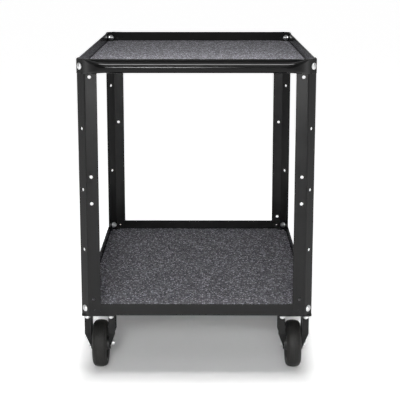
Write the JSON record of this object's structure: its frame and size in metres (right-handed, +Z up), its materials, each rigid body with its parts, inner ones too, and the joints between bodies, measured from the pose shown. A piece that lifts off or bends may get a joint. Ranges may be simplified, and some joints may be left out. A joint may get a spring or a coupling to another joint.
{
  "type": "luggage cart",
  "caption": "Two-deck steel luggage cart with lipped, lined trays, punched corner posts, end push handles and casters.",
  "frame": {"origin": "on the floor, under the middle of the cart's box", "axes": "+Z up, Y along the cart with the rigid casters at -Y, +X to the right when looking along +Y"},
  "size_m": [0.6102, 1.0114, 0.8375],
  "materials": {
    "powder_coat": "satin",
    "gloss_coat": "gloss",
    "deck_liner": "matt",
    "zinc": "satin",
    "fork_coat": "satin",
    "tyre_rubber": "matt",
    "core_plastic": "satin",
    "bush_nylon": "satin",
    "bearing_steel": "polished",
    "pedal_coat": "satin"
  },
  "bodies": {
    "frame": {"upper_tray": "powder_coat", "lower_tray": "powder_coat", "upper_deck_mat": "deck_liner", "lower_deck_mat": "deck_liner", "post_front_left": "powder_coat", "post_front_right": "powder_coat", "post_rear_left": "powder_coat", "post_rear_right": "powder_coat", "front_push_handle": "gloss_coat", "rear_push_handle": "gloss_coat", "upper_corner_bolts": "zinc", "lower_corner_bolts": "zinc", "upper_corner_nuts": "zinc", "lower_corner_nuts": "zinc", "caster_studs": "zinc", "caster_nuts": "zinc", "front_left_fork": "fork_coat", "front_right_fork": "fork_coat", "front_axle_bolts": "zinc", "front_axle_nuts": "zinc", "front_axle_sleeves": "zinc", "rear_left_top_plate": "fork_coat", "rear_right_top_plate": "fork_coat", "swivel_kingpins": "zinc", "kingpin_nuts": "zinc"},
    "wheel_front_left": {"front_left_tyre": "tyre_rubber", "front_left_wheel_core": "core_plastic", "front_left_wheel_bush": "bush_nylon"},
    "wheel_front_right": {"front_right_tyre": "tyre_rubber", "front_right_wheel_core": "core_plastic", "front_right_wheel_bush": "bush_nylon"},
    "swivel_rear_left": {"rear_left_fork": "fork_coat", "rear_left_ball_ring": "bearing_steel", "rear_left_axle_bolt": "zinc", "rear_left_axle_nut": "zinc", "rear_left_axle_sleeve": "zinc", "rear_left_brake_pin": "zinc"},
    "wheel_rear_left": {"rear_left_tyre": "tyre_rubber", "rear_left_wheel_core": "core_plastic", "rear_left_wheel_bush": "bush_nylon"},
    "brake_rear_left": {"rear_left_brake_pedal": "pedal_coat", "rear_left_brake_shoe": "tyre_rubber"},
    "swivel_rear_right": {"rear_right_fork": "fork_coat", "rear_right_ball_ring": "bearing_steel", "rear_right_axle_bolt": "zinc", "rear_right_axle_nut": "zinc", "rear_right_axle_sleeve": "zinc", "rear_right_brake_pin": "zinc"},
    "wheel_rear_right": {"rear_right_tyre": "tyre_rubber", "rear_right_wheel_core": "core_plastic", "rear_right_wheel_bush": "bush_nylon"},
    "brake_rear_right": {"rear_right_brake_pedal": "pedal_coat", "rear_right_brake_shoe": "tyre_rubber"}
  },
  "joints": [
    {"name": "front_left_wheel_spin", "type": "hinge", "parent": "frame", "child": "wheel_front_left", "pos_m": [-0.259, -0.4, 0.0635], "axis": [1, 0, 0], "continuous": true},
    {"name": "front_right_wheel_spin", "type": "hinge", "parent": "frame", "child": "wheel_front_right", "pos_m": [0.259, -0.4, 0.0635], "axis": [1, 0, 0], "continuous": true},
    {"name": "rear_left_swivel", "type": "hinge", "parent": "frame", "child": "swivel_rear_left", "pos_m": [-0.259, 0.4, 0.1455], "axis": [0, 0, 1], "continuous": true},
    {"name": "rear_left_wheel_spin", "type": "hinge", "parent": "swivel_rear_left", "child": "wheel_rear_left", "pos_m": [-0.259, 0.364, 0.0635], "axis": [1, 0, 0], "continuous": true},
    {"name": "rear_left_brake", "type": "hinge", "parent": "swivel_rear_left", "child": "brake_rear_left", "pos_m": [-0.259, 0.32, 0.121], "axis": [1, 0, 0], "range_deg": [0, 16]},
    {"name": "rear_right_swivel", "type": "hinge", "parent": "frame", "child": "swivel_rear_right", "pos_m": [0.259, 0.4, 0.1455], "axis": [0, 0, 1], "continuous": true},
    {"name": "rear_right_wheel_spin", "type": "hinge", "parent": "swivel_rear_right", "child": "wheel_rear_right", "pos_m": [0.259, 0.364, 0.0635], "axis": [1, 0, 0], "continuous": true},
    {"name": "rear_right_brake", "type": "hinge", "parent": "swivel_rear_right", "child": "brake_rear_right", "pos_m": [0.259, 0.32, 0.121], "axis": [1, 0, 0], "range_deg": [0, 16]}
  ]
}
